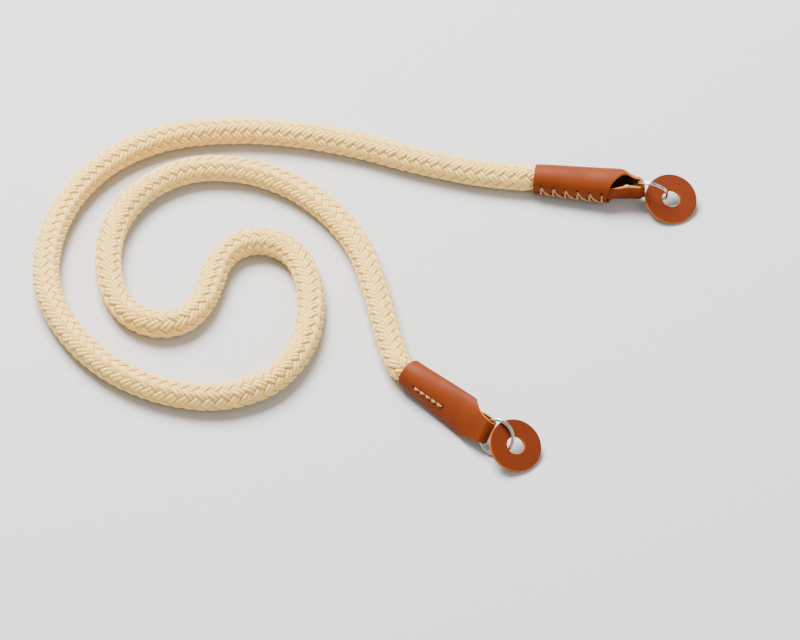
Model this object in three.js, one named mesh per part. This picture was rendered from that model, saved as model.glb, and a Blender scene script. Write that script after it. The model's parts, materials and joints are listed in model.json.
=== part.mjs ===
// Camera neck strap: a soft braided rope with a stitched leather sleeve on each end. The sleeve's
// tongue folds round a split ring, and a loose leather bumper disc hangs on the ring.
// The strap lies on a flat surface with its rope in an open spiral.
// Millimetres, +Z up. The origin is on that surface, midway between the two ends.

import * as THREE from "three";
import { mergeVertices } from "three/addons/utils/BufferGeometryUtils.js";

const { degToRad, lerp, smoothstep } = THREE.MathUtils;

// Rope
const ROPE_DIAMETER = 12;
const ROPE_SIDES = 12;
const ROPE_STEP = 12;
const ROPE_IN_SLEEVE = 18;

// The rope is squeezed where the leather grips it: radius against the distance past the sleeve's lip.
const ROPE_NECK = [
  { past_lip: -5, radius: ROPE_DIAMETER / 2 },
  { past_lip: -2.5, radius: 5.6 },
  { past_lip: -0.4, radius: 4.7 },
  { past_lip: ROPE_IN_SLEEVE, radius: 3.2 },
];

// Middle line of the free rope on the surface, from the far sleeve to the near one.
const ROUTE = [
  [-29.5, 81.5], [-56.5, 89], [-83.5, 98.5], [-111.5, 105], [-140.5, 107], [-168.5, 102.5],
  [-191.5, 89], [-207.5, 68], [-216, 41.5], [-216, 14.5], [-206.5, -8.5], [-189.5, -29],
  [-166.5, -42.5], [-140.5, -46.5], [-119.5, -38], [-106.5, -19], [-102.5, 4.5], [-106, 25.5],
  [-113, 36.5], [-124.5, 41.5], [-135.5, 38.5], [-142.5, 29.5], [-146, 17], [-150.5, 4.5],
  [-158, -4], [-168.5, -6], [-179, -1], [-186.5, 10], [-190.5, 30.5], [-187.5, 52.5],
  [-176, 71.5], [-157.5, 83], [-134.5, 83.5], [-112.5, 74.5], [-94.5, 58], [-82, 37],
  [-75, 13], [-71.4, -4.5], [-68.2, -18],
];
const STRAIGHT_BEFORE_LIP = 4.5;
const STRAIGHT_PAST_LIP = 1;

// Leather sleeve: one sheet wrapped round the rope, its long edges meeting in a seam
const LEATHER_WALL = 1.3;
const LIP_RADIUS = 5.85;
const SLEEVE_LENGTH = 33.2;
const SLEEVE_COLUMNS = 24;
const TONGUE_HALF_WIDTH = 5.55;
const TONGUE_OVAL = { wide: 8.2, high: 0.4 };

// Folded tongue: it bends round the ring's wire and runs back inside the sleeve's mouth.
const FOLD_REACH = 48.6;
const FOLD_BEND = 2.3;
const FOLD_STEPS = 8;
const FOLD_NOTCH = 0.8;
const FOLD_START = FOLD_REACH - FOLD_BEND - LEATHER_WALL / 2;
const TUCKED_CLEARANCE = 1.6;

// Sections of the sheet from lip to fold.
// reach: the half angle of the oval that the leather covers, in degrees.
const SHEET_SECTIONS = [
  { along: 0, reach: 177 },
  { along: 11, reach: 177 },
  { along: 22, reach: 177 },
  { along: 32.6, reach: 177 },
  { along: SLEEVE_LENGTH, reach: 145 },
  { along: 33.9, reach: 116 },
  { along: 35.2, reach: 97 },
  { along: 36.8, reach: 80 },
  { along: 38.6, reach: 63 },
  { along: 40.6, reach: 51 },
  { along: 42.6, reach: 45 },
  { along: 44.3, reach: 43.2 },
];

// Sections of the tongue's way back. tuck: 0 flat below the ring, 1 against the sleeve's inside.
const RETURN_SECTIONS = [
  { along: 41.5, tuck: 0, half_width: 5.4 },
  { along: 37.5, tuck: 0.5, half_width: 4.7 },
  { along: 33.5, tuck: 1, half_width: 3.8 },
  { along: 27, tuck: 1, half_width: 3.7 },
];

// Split ring: a flat wire wound twice, with one step between the turns
const RING_OUTER_RADIUS = 7.9;
const RING_WIRE_RADIAL = 1.15;
const RING_WIRE_AXIAL = 0.75;
const RING_TURN_GAP = 0.06;
const RING_MIDDLE_RADIUS = RING_OUTER_RADIUS - RING_WIRE_RADIAL / 2;
const RING_BEHIND_FOLD = 4.6;
const RING_STEP_DEG = 36;
const RING_STEPS_PER_TURN = 30;
const RING_WIRE_BEVEL = 0.25;

// Bumper disc
const DISC_RADIUS = 11.4;
const DISC_HOLE_RADIUS = 3.85;
const DISC_THICKNESS = 1.8;
const DISC_EDGE_BEVEL = 0.35;
const DISC_SEGMENTS = 36;

// How each end lies. lip: rope side of the sleeve on the surface, with the height of its axis.
// mouth: half sizes of the sleeve's oval mouth.
// tongue: where the sheet starts to flatten, and the fold's middle above the sleeve's axis.
// ring: its swing in the fold, its lift above the fold's middle, and the place of the wire's step.
// disc: its centre along the strap, to its side and above the surface, and its two leans.
const ENDS = [
  {
    name: "near",
    lip: [-60.7, -34.1, 6.55],
    heading: -45.2,
    pitch: 1.5,
    roll: 51.5,
    mouth: { wide: 8.2, high: 3.1 },
    tongue: { flat_from: 33, rise: 0.3 },
    ring: { swing: 15, lift: 0.45, step_at: 200 },
    disc: { along: 59.15, side: 3.9, height: 5.97, lean: 27.7, tilt: 1.5 },
  },
  {
    name: "far",
    lip: [-5.4, 77.8, 6.55],
    heading: -9.3,
    pitch: 2.5,
    roll: -73,
    mouth: { wide: 6.2, high: 7.2 },
    tongue: { flat_from: 37.5, rise: 0 },
    ring: { swing: 8, lift: 0.3, step_at: 160 },
    disc: { along: 60.14, side: -0.97, height: 5.04, lean: 12.54, tilt: 18.6 },
  },
];

const LEATHER = { color: "#b85c32", roughness: 0.55, metalness: 0 };
const ROPE_COTTON = { color: "#f0dcb4", roughness: 0.9, metalness: 0 };
const NICKEL = { color: "#d6d3cc", roughness: 0.2, metalness: 1 };

// A closed body from its points and the corners of its triangles.
function bodyFrom(points, triangles) {
  const geometry = new THREE.BufferGeometry();
  geometry.setAttribute("position", new THREE.Float32BufferAttribute(points.flatMap((p) => p.toArray()), 3));
  geometry.setIndex(triangles);
  return geometry;
}

// Triangles between neighbouring rows of a grid whose first point has the given number.
function gridTriangles(rows, columns, first, wrapped, flipped) {
  const triangles = [];
  const bands = wrapped ? columns : columns - 1;
  for (let row = 0; row + 1 < rows; row++) {
    for (let column = 0; column < bands; column++) {
      const a = first + row * columns + column;
      const b = first + row * columns + ((column + 1) % columns);
      const c = b + columns;
      const d = a + columns;
      triangles.push(...(flipped ? [a, c, b, a, d, c] : [a, b, c, a, c, d]));
    }
  }
  return triangles;
}

// A bar lofted through rings of points that run anticlockwise seen from the bar's end.
function loftedBar(rings) {
  const columns = rings[0].length;
  const last = (rings.length - 1) * columns;
  const triangles = gridTriangles(rings.length, columns, 0, true, false);
  for (let k = 1; k + 1 < columns; k++) {
    triangles.push(0, k + 1, k);
    triangles.push(last, last + k, last + k + 1);
  }
  return bodyFrom(rings.flat(), triangles);
}

// A sheet with a wall, closed all round its border, from the points of its two faces.
function walledSheet(outer, inner) {
  const rows = outer.length;
  const columns = outer[0].length;
  const count = rows * columns;
  const triangles = gridTriangles(rows, columns, 0, false, false);
  triangles.push(...gridTriangles(rows, columns, count, false, true));
  const border = [];
  for (let column = 0; column < columns; column++) border.push(column);
  for (let row = 1; row < rows; row++) border.push(row * columns + columns - 1);
  for (let column = columns - 2; column >= 0; column--) border.push((rows - 1) * columns + column);
  for (let row = rows - 2; row > 0; row--) border.push(row * columns);
  border.forEach((a, k) => {
    const b = border[(k + 1) % border.length];
    triangles.push(a, a + count, b + count, a, b + count, b);
  });
  return bodyFrom([...outer.flat(), ...inner.flat()], triangles);
}

// Half sizes of the sleeve's oval: round at the lip, and from the end of its seam on as the mouth is.
function ovalAt(mouth, along) {
  const share = Math.min(along / SLEEVE_LENGTH, 1);
  return { wide: lerp(LIP_RADIUS, mouth.wide, share), high: lerp(LIP_RADIUS, mouth.high, share) };
}

// All sections of the sheet in order. Each has the place of its middle, the way that its outer face
// looks there, its oval and the half angle of the oval that the leather covers.
function sheetSections(mouth, tongue) {
  const tongueReach = (halfWidth, wide) => Math.asin(halfWidth / wide);
  const outward = SHEET_SECTIONS.map((row) => {
    const tube = ovalAt(mouth, row.along);
    const flat = smoothstep(row.along, tongue.flat_from, FOLD_START);
    const wide = lerp(tube.wide, TONGUE_OVAL.wide, flat);
    const high = lerp(tube.high, TONGUE_OVAL.high, flat);
    const z = lerp(tube.high, tongue.rise + FOLD_BEND, flat);
    return { x: row.along, z, facing: 0, wide, high, reach: degToRad(row.reach) };
  });
  const fold = Array.from({ length: FOLD_STEPS + 1 }, (_, k) => {
    const facing = (Math.PI * k) / FOLD_STEPS;
    const x = FOLD_START + FOLD_BEND * Math.sin(facing);
    const z = tongue.rise + FOLD_BEND * Math.cos(facing);
    const halfWidth = TONGUE_HALF_WIDTH - FOLD_NOTCH * Math.sin(facing);
    return { x, z, facing, ...TONGUE_OVAL, reach: tongueReach(halfWidth, TONGUE_OVAL.wide) };
  });
  const back = RETURN_SECTIONS.map((row) => {
    const tube = ovalAt(mouth, row.along);
    const wide = lerp(TONGUE_OVAL.wide, tube.wide - TUCKED_CLEARANCE, row.tuck);
    const high = lerp(TONGUE_OVAL.high, tube.high - TUCKED_CLEARANCE, row.tuck);
    const z = lerp(tongue.rise - FOLD_BEND, TUCKED_CLEARANCE - tube.high, row.tuck);
    return { x: row.along, z, facing: Math.PI, wide, high, reach: tongueReach(row.half_width, wide) };
  });
  return [...outward, ...fold, ...back];
}

// Points across one section, moved by offset along the sheet's own normal.
function sectionPoints(section, offset) {
  return Array.from({ length: SLEEVE_COLUMNS + 1 }, (_, k) => {
    const angle = section.reach * (1 - (2 * k) / SLEEVE_COLUMNS);
    const normal = new THREE.Vector2(Math.sin(angle) / section.wide, Math.cos(angle) / section.high);
    normal.normalize().multiplyScalar(offset);
    const across = section.wide * Math.sin(angle) + normal.x;
    const rise = section.high * (Math.cos(angle) - 1) + normal.y;
    return new THREE.Vector3(
      section.x + rise * Math.sin(section.facing),
      across,
      section.z + rise * Math.cos(section.facing),
    );
  });
}

function makeSleeve(mouth, tongue) {
  const sections = sheetSections(mouth, tongue);
  const outer = sections.map((section) => sectionPoints(section, LEATHER_WALL / 2));
  const inner = sections.map((section) => sectionPoints(section, -LEATHER_WALL / 2));
  return walledSheet(outer, inner);
}

// The wire starts just past the step, runs once round below, climbs the step and runs round above.
function makeSplitRing(stepAt) {
  const halfStep = degToRad(RING_STEP_DEG) / 2;
  const level = (RING_WIRE_AXIAL + RING_TURN_GAP) / 2;
  const radial = RING_WIRE_RADIAL / 2;
  const axial = RING_WIRE_AXIAL / 2;
  const corners = [
    [radial - RING_WIRE_BEVEL, axial], [radial, axial - RING_WIRE_BEVEL],
    [radial, RING_WIRE_BEVEL - axial], [radial - RING_WIRE_BEVEL, -axial],
    [RING_WIRE_BEVEL - radial, -axial], [-radial, RING_WIRE_BEVEL - axial],
    [-radial, axial - RING_WIRE_BEVEL], [RING_WIRE_BEVEL - radial, axial],
  ];
  const turn = 2 * Math.PI;
  const steps = 2 * RING_STEPS_PER_TURN;
  const rings = Array.from({ length: steps + 1 }, (_, k) => {
    const angle = lerp(halfStep, 2 * turn - halfStep, k / steps);
    const climb = smoothstep(angle, turn - halfStep, turn + halfStep);
    const height = lerp(-level, level, climb);
    const at = angle + degToRad(stepAt);
    return corners.map(([out, up]) => new THREE.Vector3(
      (RING_MIDDLE_RADIUS + out) * Math.cos(at), (RING_MIDDLE_RADIUS + out) * Math.sin(at), height + up));
  });
  return loftedBar(rings);
}

function makeDisc() {
  const half = DISC_THICKNESS / 2;
  const profile = [
    [DISC_HOLE_RADIUS, -half], [DISC_RADIUS - DISC_EDGE_BEVEL, -half],
    [DISC_RADIUS, DISC_EDGE_BEVEL - half], [DISC_RADIUS, half - DISC_EDGE_BEVEL],
    [DISC_RADIUS - DISC_EDGE_BEVEL, half], [DISC_HOLE_RADIUS, half], [DISC_HOLE_RADIUS, -half],
  ].map(([radius, height]) => new THREE.Vector2(radius, height));
  return new THREE.LatheGeometry(profile, DISC_SEGMENTS).rotateX(Math.PI / 2);
}

// A point on the axis of an end's sleeve, past its lip.
function axisPoint(end, pastLip) {
  const heading = degToRad(end.heading);
  const pitch = degToRad(end.pitch);
  return new THREE.Vector3(
    Math.cos(pitch) * Math.cos(heading),
    Math.cos(pitch) * Math.sin(heading),
    Math.sin(pitch),
  ).multiplyScalar(pastLip).add(new THREE.Vector3(...end.lip));
}

function ropeRadius(pastLip) {
  const first = ROPE_NECK[0];
  if (pastLip <= first.past_lip) return first.radius;
  const next = ROPE_NECK.findIndex((row) => row.past_lip >= pastLip);
  const from = ROPE_NECK[next - 1];
  const to = ROPE_NECK[next];
  return lerp(from.radius, to.radius, (pastLip - from.past_lip) / (to.past_lip - from.past_lip));
}

function makeRope() {
  const [near, far] = ENDS;
  const curve = new THREE.CatmullRomCurve3([
    axisPoint(far, ROPE_IN_SLEEVE),
    axisPoint(far, STRAIGHT_PAST_LIP),
    axisPoint(far, -STRAIGHT_BEFORE_LIP),
    ...ROUTE.map(([x, y]) => new THREE.Vector3(x, y, ROPE_DIAMETER / 2)),
    axisPoint(near, -STRAIGHT_BEFORE_LIP),
    axisPoint(near, STRAIGHT_PAST_LIP),
    axisPoint(near, ROPE_IN_SLEEVE),
  ], false, "centripetal");
  curve.arcLengthDivisions = 4000;
  const length = curve.getLength();
  const squeezed = ROPE_NECK.map((row) => ROPE_IN_SLEEVE - row.past_lip).reverse();
  const free = squeezed.at(-1);
  const steps = Math.round((length - 2 * free) / ROPE_STEP);
  const stations = [
    ...squeezed,
    ...Array.from({ length: steps - 1 }, (_, k) => lerp(free, length - free, (k + 1) / steps)),
    ...squeezed.map((s) => length - s).reverse(),
  ];
  const upright = new THREE.Vector3(0, 0, 1);
  const rings = stations.map((s) => {
    const middle = curve.getPointAt(s / length);
    const tangent = curve.getTangentAt(s / length);
    const side = new THREE.Vector3().crossVectors(upright, tangent).normalize();
    const up = new THREE.Vector3().crossVectors(tangent, side);
    const flat = ropeRadius(ROPE_IN_SLEEVE - Math.min(s, length - s));
    const corner = flat / Math.cos(Math.PI / ROPE_SIDES);
    return Array.from({ length: ROPE_SIDES }, (_, k) => {
      const angle = (2 * Math.PI * (k + 0.5)) / ROPE_SIDES;
      return middle.clone()
        .addScaledVector(side, corner * Math.cos(angle))
        .addScaledVector(up, corner * Math.sin(angle));
    });
  });
  return loftedBar(rings);
}

function piece(name, geometry, finish) {
  geometry.deleteAttribute("normal");
  geometry.deleteAttribute("uv");
  const mesh = new THREE.Mesh(mergeVertices(geometry), new THREE.MeshStandardMaterial(finish));
  mesh.name = name;
  return mesh;
}

// One end of the strap: the sleeve and its ring turned together, and the disc leaning beside them.
function makeEnd(end) {
  const [x, y, height] = end.lip;
  const group = new THREE.Group();
  group.position.set(x, y, 0);
  group.rotation.z = degToRad(end.heading);

  const turned = new THREE.Group();
  turned.position.z = height;
  turned.rotation.set(degToRad(end.roll), -degToRad(end.pitch), 0, "ZYX");
  turned.add(piece(`sleeve_${end.name}`, makeSleeve(end.mouth, end.tongue), LEATHER));

  const swung = new THREE.Group();
  swung.position.set(FOLD_REACH - RING_BEHIND_FOLD, 0, end.tongue.rise + end.ring.lift);
  swung.rotation.y = degToRad(end.ring.swing);
  const ring = piece(`split_ring_${end.name}`, makeSplitRing(end.ring.step_at), NICKEL);
  ring.position.x = RING_MIDDLE_RADIUS;
  turned.add(swung.add(ring));

  const disc = piece(`bumper_disc_${end.name}`, makeDisc(), LEATHER);
  disc.position.set(end.disc.along, end.disc.side, end.disc.height);
  disc.rotation.set(degToRad(end.disc.tilt), degToRad(end.disc.lean), 0, "ZYX");
  group.add(turned, disc);
  return group;
}

const strap = new THREE.Group();
strap.name = "camera_neck_strap";
strap.add(piece("rope", makeRope(), ROPE_COTTON));
ENDS.forEach((end) => strap.add(makeEnd(end)));

export default strap;
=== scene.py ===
"""Looks of a camera neck strap: a braided cotton rope with a stitched leather sleeve, a split ring and a
loose leather bumper disc on each end.

It is laid out as an add-on. The settings hold the sizes and colours, and each operator makes one group of
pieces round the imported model. Lengths are in metres.
"""

import json
import math

import bpy
import numpy as np
from bpy.props import FloatProperty, FloatVectorProperty, IntProperty, PointerProperty
from mathutils import Matrix, Vector

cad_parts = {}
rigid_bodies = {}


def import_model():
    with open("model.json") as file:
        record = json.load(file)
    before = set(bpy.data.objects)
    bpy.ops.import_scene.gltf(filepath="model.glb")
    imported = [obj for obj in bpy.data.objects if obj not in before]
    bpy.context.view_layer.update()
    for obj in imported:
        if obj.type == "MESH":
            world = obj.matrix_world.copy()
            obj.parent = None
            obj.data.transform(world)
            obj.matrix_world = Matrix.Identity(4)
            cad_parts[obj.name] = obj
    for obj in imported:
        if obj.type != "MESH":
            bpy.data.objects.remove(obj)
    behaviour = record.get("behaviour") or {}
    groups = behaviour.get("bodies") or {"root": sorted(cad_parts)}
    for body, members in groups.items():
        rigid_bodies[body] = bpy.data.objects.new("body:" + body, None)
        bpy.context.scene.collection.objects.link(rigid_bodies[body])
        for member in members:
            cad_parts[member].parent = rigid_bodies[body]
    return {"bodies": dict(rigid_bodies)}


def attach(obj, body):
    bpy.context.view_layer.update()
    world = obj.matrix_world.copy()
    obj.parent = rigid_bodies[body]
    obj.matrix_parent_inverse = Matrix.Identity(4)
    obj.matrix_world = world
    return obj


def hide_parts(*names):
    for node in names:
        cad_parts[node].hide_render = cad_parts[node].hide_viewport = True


bl_info = {
    "name": "Camera neck strap",
    "version": (1, 0, 0),
    "blender": (4, 5, 0),
    "location": "3D View > Sidebar > Strap",
    "description": "Makes a rope neck strap with leather ends and the studio that it is shown in",
    "category": "Object",
}

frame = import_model()
(BODY,) = frame["bodies"]
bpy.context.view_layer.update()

MM = 0.001
TURN = 2 * math.pi
UPRIGHT = np.array([0.0, 0.0, 1.0])

# Middle line of the free rope on the surface, from the far sleeve to the near one.
ROUTE = MM * np.array([
    [-29.5, 81.5], [-56.5, 89], [-83.5, 98.5], [-111.5, 105], [-140.5, 107], [-168.5, 102.5],
    [-191.5, 89], [-207.5, 68], [-216, 41.5], [-216, 14.5], [-206.5, -8.5], [-189.5, -29],
    [-166.5, -42.5], [-140.5, -46.5], [-119.5, -38], [-106.5, -19], [-102.5, 4.5], [-106, 25.5],
    [-113, 36.5], [-124.5, 41.5], [-135.5, 38.5], [-142.5, 29.5], [-146, 17], [-150.5, 4.5],
    [-158, -4], [-168.5, -6], [-179, -1], [-186.5, 10], [-190.5, 30.5], [-187.5, 52.5],
    [-176, 71.5], [-157.5, 83], [-134.5, 83.5], [-112.5, 74.5], [-94.5, 58], [-82, 37],
    [-75, 13], [-71.4, -4.5], [-68.2, -18],
])
ROPE_IN_SLEEVE = 18 * MM

STRAIGHT_PAST_LIP = 1 * MM
STRAIGHT_BEFORE_LIP = 4.5 * MM

# Slow turns of the braid to and fro. Columns: angle in radians, length of rope in metres.
SLOW_TURNS = ((0.22, 0.31), (0.15, 0.123))

# Share of the strands' wave that is flattened on top, and the squareness of a yarn's section.
WAVE_FLATTENING = 0.35
YARN_SQUARENESS = 2.5

# The rope is squeezed where the leather grips it. Columns: distance past the lip, radius.
ROPE_NECK = MM * np.array([[-5, 6], [-2.5, 5.6], [-0.4, 4.7], [18, 3.2]])

# Leather sheet of a sleeve
LIP_RADIUS = 5.85 * MM
SLEEVE_LENGTH = 33.2 * MM
TONGUE_HALF_WIDTH = 5.55 * MM
TONGUE_WIDE = 8.2 * MM
TONGUE_HIGH = 0.4 * MM
FOLD_REACH = 48.6 * MM
FOLD_BEND = 2.3 * MM
FOLD_NOTCH = 0.8 * MM
TUCKED_CLEARANCE = 1.6 * MM
RING_BEHIND_FOLD = 4.6 * MM

# From lip to fold. Columns: along in mm, covered half angle in degrees.
SHEET_SECTIONS = np.array([
    [0, 177], [32.6, 177], [33.2, 145], [33.9, 116], [35.2, 97], [36.8, 80], [38.6, 63], [40.6, 51],
    [42.6, 45], [44.3, 43.2], [48, 42.6],
])

# The tongue's way back. Columns: way from the fold in mm, tuck (0 flat, 1 in the sleeve), half width in mm.
RETURN_SECTIONS = np.array([
    [0, 0, 5.55], [4.15, 0, 5.4], [8.15, 0.5, 4.7], [12.15, 1, 3.8], [18.65, 1, 3.7],
])

# Marks in the leather: depth of a hole as a share of the wall, the dip that the thread pulls round it with
# its reach in hole radii, and the height and lengths of the slow swell in the sheet.
HOLE_DEPTH = 0.75
PULL_DEPTH = 0.1 * MM
PULL_REACH = 2.6
SWELL_HEIGHT = 0.05 * MM
SWELL_ALONG = 5.1 * MM
SWELL_ACROSS = 4.3 * MM
# Painted shade: the near-black colour painted into the punched holes.
HOLE_PAINTED_SHADE = (0.01, 0.006, 0.004)

# Thread: how far its ends sink into the holes and how far from a hole's middle they start, in hole radii, the
# turns of its plies in a stitch, their radius over that of their helix, and the places along a stitch.
THREAD_SUNK = 0.2 * MM
ROW_FROM_HOLE = 0.95
LACE_FROM_HOLE = 0.8
PLY_TURNS = 0.8
PLY_RADIUS = 1.2
STITCH_PLACES = 40

# Places round a ring and a disc, the disc's edge rounding over that of the sleeves, and its swell.
RING_PLACES = 361
DISC_PLACES = 144
DISC_ROUNDING = 1.2
DISC_SWELL = 0.06 * MM

# How each end lies: angles in degrees, lengths in millimetres. row_sense: the side of the stitch row.
ENDS = {
    "near": {
        "lip": (-60.7, -34.1, 6.55), "heading": -45.2, "pitch": 1.5, "roll": 51.5, "mouth": (8.2, 3.1),
        "tongue": {"flat_from": 33, "rise": 0.3}, "row_sense": 1,
        "ring": {"swing": 15, "lift": 0.45, "step_at": 200},
        "disc": {"place": (59.15, 3.9, 5.97), "lean": 27.7, "tilt": 1.5},
    },
    "far": {
        "lip": (-5.4, 77.8, 6.55), "heading": -9.3, "pitch": 2.5, "roll": -73, "mouth": (6.2, 7.2),
        "tongue": {"flat_from": 37.5, "rise": 0}, "row_sense": -1,
        "ring": {"swing": 8, "lift": 0.3, "step_at": 160},
        "disc": {"place": (60.14, -0.97, 5.04), "lean": 12.54, "tilt": 18.6},
    },
}

# The camera and the lights look at this point of the floor.
TARGET = (-0.0645, 0.0015, 0.0)
SENSOR_WIDTH = 36.0
VIEW_END = 20.0
FLOOR_HALF = 3.0

# Places and sizes of the lights.
KEY_LIGHT = {"place": (-0.45, 0.75, 1.25), "size": 0.9}
FILL_LIGHT = {"place": (0.9, -0.9, 0.9), "size": 1.2}


def length_property(name, default, description):
    """A length in metres that a user may change."""
    return FloatProperty(
        name=name, default=default, description=description, unit="LENGTH", precision=5, min=0)


def colour_property(name, default, description):
    """A linear colour that a user may change."""
    return FloatVectorProperty(
        name=name, default=default, description=description, subtype="COLOR", size=3, min=0, max=1)


class RopeSettings(bpy.types.PropertyGroup):
    """Sizes and colours of the braided rope."""

    diameter: length_property("Diameter", 0.012, "Outer diameter of the braid")
    pitch: length_property("Pitch", 0.039, "Length of rope in which a strand goes once round")
    carriers: IntProperty(
        name="Strands each way", default=8, min=4, max=16, description="Strands that wind one way round")
    yarn_width: length_property("Yarn width", 0.00172, "Width of one of a strand's two yarns")
    yarn_thickness: length_property("Yarn thickness", 0.00145, "Thickness of a flattened yarn")
    yarn_spacing: FloatProperty(
        name="Yarn spacing", default=0.46, subtype="FACTOR", min=0, max=1,
        description="Spacing of a strand's yarns over that of the strands")
    wave: length_property("Wave", 0.00092, "How far a strand rises and dives about the braid's middle")
    core_diameter: length_property("Core diameter", 0.0087, "Diameter of the filling inside the braid")
    colour: colour_property("Cotton", (1.0, 0.67, 0.18), "Undyed cotton where a yarn lies on top")
    # Painted shade: the cotton's colour darkened where a yarn dives under another, in the gaps where shade
    # falls.
    shade: colour_property("Cotton in gaps", (0.50, 0.25, 0.045), "Cotton where a yarn dives under another")


class LeatherSettings(bpy.types.PropertyGroup):
    """Wall and colours of the leather."""

    wall: length_property("Wall", 0.0013, "Thickness of the leather of the sleeves")
    edge_round: length_property("Edge rounding", 0.0003, "Rounding of the cut edges")
    colour: colour_property("Leather", (0.175, 0.030, 0.003), "Grain side of the leather")
    dark: colour_property("Dark leather", (0.125, 0.018, 0.0018), "Leather where the tan has taken darker")
    edge: colour_property("Cut edge", (0.40, 0.115, 0.015), "Raw edge of the leather")
    flesh: colour_property("Flesh side", (0.09, 0.022, 0.005), "Inner side of the leather")
    disc: colour_property("Disc leather", (0.125, 0.0185, 0.002), "Grain side of the bumper discs")


class StitchSettings(bpy.types.PropertyGroup):
    """Sizes and colour of the waxed thread."""

    diameter: length_property("Thread", 0.00106, "Diameter of the two-ply thread")
    row_start: length_property("Row start", 0.0084, "First hole of the stitch row past the lip")
    row_pitch: length_property("Row pitch", 0.00317, "Spacing of the row's holes")
    row_side: length_property("Row side", 0.0017, "Distance of the row from the tongue's middle line")
    lace_start: length_property("Lace start", 0.0036, "First hole of the laced seam past the lip")
    lace_pitch: length_property("Lace pitch", 0.00537, "Spacing of the laced seam's holes")
    lace_reach: length_property("Lace reach", 0.0029, "Distance of the laced holes from the seam")
    holes: IntProperty(name="Holes", default=6, min=2, max=12, description="Holes in each row")
    hole_radius: length_property("Hole radius", 0.00056, "Half width of a punched hole")
    colour: colour_property("Thread", (0.45, 0.215, 0.075), "Waxed linen thread")


class RingSettings(bpy.types.PropertyGroup):
    """Sizes and colour of the split rings."""

    outer_radius: length_property("Outer radius", 0.0079, "Outer radius of the ring")
    wire_radial: length_property("Wire width", 0.00115, "Wire across the ring")
    wire_axial: length_property("Wire height", 0.00075, "Height of one turn of the wire")
    turn_gap: length_property("Turn gap", 0.00006, "Gap between the two turns")
    step: FloatProperty(
        name="Step", default=math.radians(36), subtype="ANGLE",
        description="Angle in which the wire climbs a turn")
    colour: colour_property("Nickel", (0.60, 0.56, 0.49), "Plated steel wire")


class DiscSettings(bpy.types.PropertyGroup):
    """Sizes of the bumper discs."""

    radius: length_property("Radius", 0.0114, "Outer radius of the disc")
    hole_radius: length_property("Hole radius", 0.00385, "Radius of the hole for the ring")
    thickness: length_property("Thickness", 0.0018, "Thickness of the disc")


class StageSettings(bpy.types.PropertyGroup):
    """Floor, light and camera."""

    floor: colour_property("Floor", (0.56, 0.56, 0.555), "Plain pale floor")
    elevation: FloatProperty(
        name="Elevation", default=math.radians(49), subtype="ANGLE", description="Camera above the horizon")
    distance: length_property("Distance", 2.2, "Camera from its target")
    lens: FloatProperty(
        name="Lens", default=230.67, unit="CAMERA", description="Focal length of the camera in millimetres")
    key_power: FloatProperty(
        name="Key light", default=100, unit="POWER", description="Large light over the back left")
    fill_power: FloatProperty(
        name="Fill light", default=8, unit="POWER", description="Large light from the front right")
    surround: FloatProperty(
        name="Surround", default=0.55, subtype="FACTOR", min=0, max=5,
        description="Strength of the even light all round")


class StrapSettings(bpy.types.PropertyGroup):
    """All settings of the strap and its studio."""

    rope: PointerProperty(type=RopeSettings)
    leather: PointerProperty(type=LeatherSettings)
    stitch: PointerProperty(type=StitchSettings)
    ring: PointerProperty(type=RingSettings)
    disc: PointerProperty(type=DiscSettings)
    stage: PointerProperty(type=StageSettings)


# Meshes from arrays

def grid_quads(rows, columns, first=0, wrapped=False, flipped=False):
    """Corners of the quads between neighbouring points of a grid whose first point has the given number."""
    index = first + np.arange(rows * columns).reshape(rows, columns)
    if wrapped:
        index = np.column_stack([index, index[:, :1]])
    quads = np.stack([index[:-1, :-1], index[:-1, 1:], index[1:, 1:], index[1:, :-1]], axis=-1).reshape(-1, 4)
    return quads[:, ::-1] if flipped else quads


def make_piece(name, points, faces, material):
    """A smooth mesh object at the origin, from its points and from arrays of face corners."""
    corners = np.concatenate([face.ravel() for face in faces])
    sizes = np.concatenate([np.full(len(face), face.shape[1]) for face in faces])
    mesh = bpy.data.meshes.new(name)
    mesh.vertices.add(len(points))
    mesh.vertices.foreach_set("co", points.astype(np.float32).ravel())
    mesh.loops.add(len(corners))
    mesh.loops.foreach_set("vertex_index", corners.astype(np.int32))
    mesh.polygons.add(len(sizes))
    mesh.polygons.foreach_set("loop_start", (np.cumsum(sizes) - sizes).astype(np.int32))
    mesh.update(calc_edges=True)
    mesh.shade_smooth()
    mesh.materials.append(material)
    piece = bpy.data.objects.new(name, mesh)
    bpy.context.scene.collection.objects.link(piece)
    return piece


def set_attribute(piece, name, values):
    """Stores one number or one vector for each point of a piece."""
    kind, field = ("FLOAT_VECTOR", "vector") if values.ndim == 2 else ("FLOAT", "value")
    attribute = piece.data.attributes.new(name, kind, "POINT")
    attribute.data.foreach_set(field, values.astype(np.float32).ravel())


def unit(vectors):
    """Vectors of length one along the given ones."""
    return vectors / np.linalg.norm(vectors, axis=-1, keepdims=True)


def swept_rings(paths, outward, half_width, half_height, sides, squareness=2.0):
    """Rings of points round each path, an array of paths by places by sides.

    The section is a superellipse: its width lies across the path and its height along outward, each the
    cosine or sine of the angle to the power of two over squareness. It starts on its inner side.
    """
    along = unit(np.gradient(paths, axis=1))
    height = unit(outward - along * np.sum(outward * along, axis=-1, keepdims=True))
    width = np.cross(height, along)
    angle = TURN * (np.arange(sides) / sides - 0.25)
    across = np.sign(np.cos(angle)) * np.abs(np.cos(angle)) ** (2 / squareness)
    rise = np.sign(np.sin(angle)) * np.abs(np.sin(angle)) ** (2 / squareness)
    half_width = np.broadcast_to(half_width, paths.shape[:2])[:, :, None, None]
    half_height = np.broadcast_to(half_height, paths.shape[:2])[:, :, None, None]
    return (paths[:, :, None]
            + half_width * across[:, None] * width[:, :, None]
            + half_height * rise[:, None] * height[:, :, None])


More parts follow.
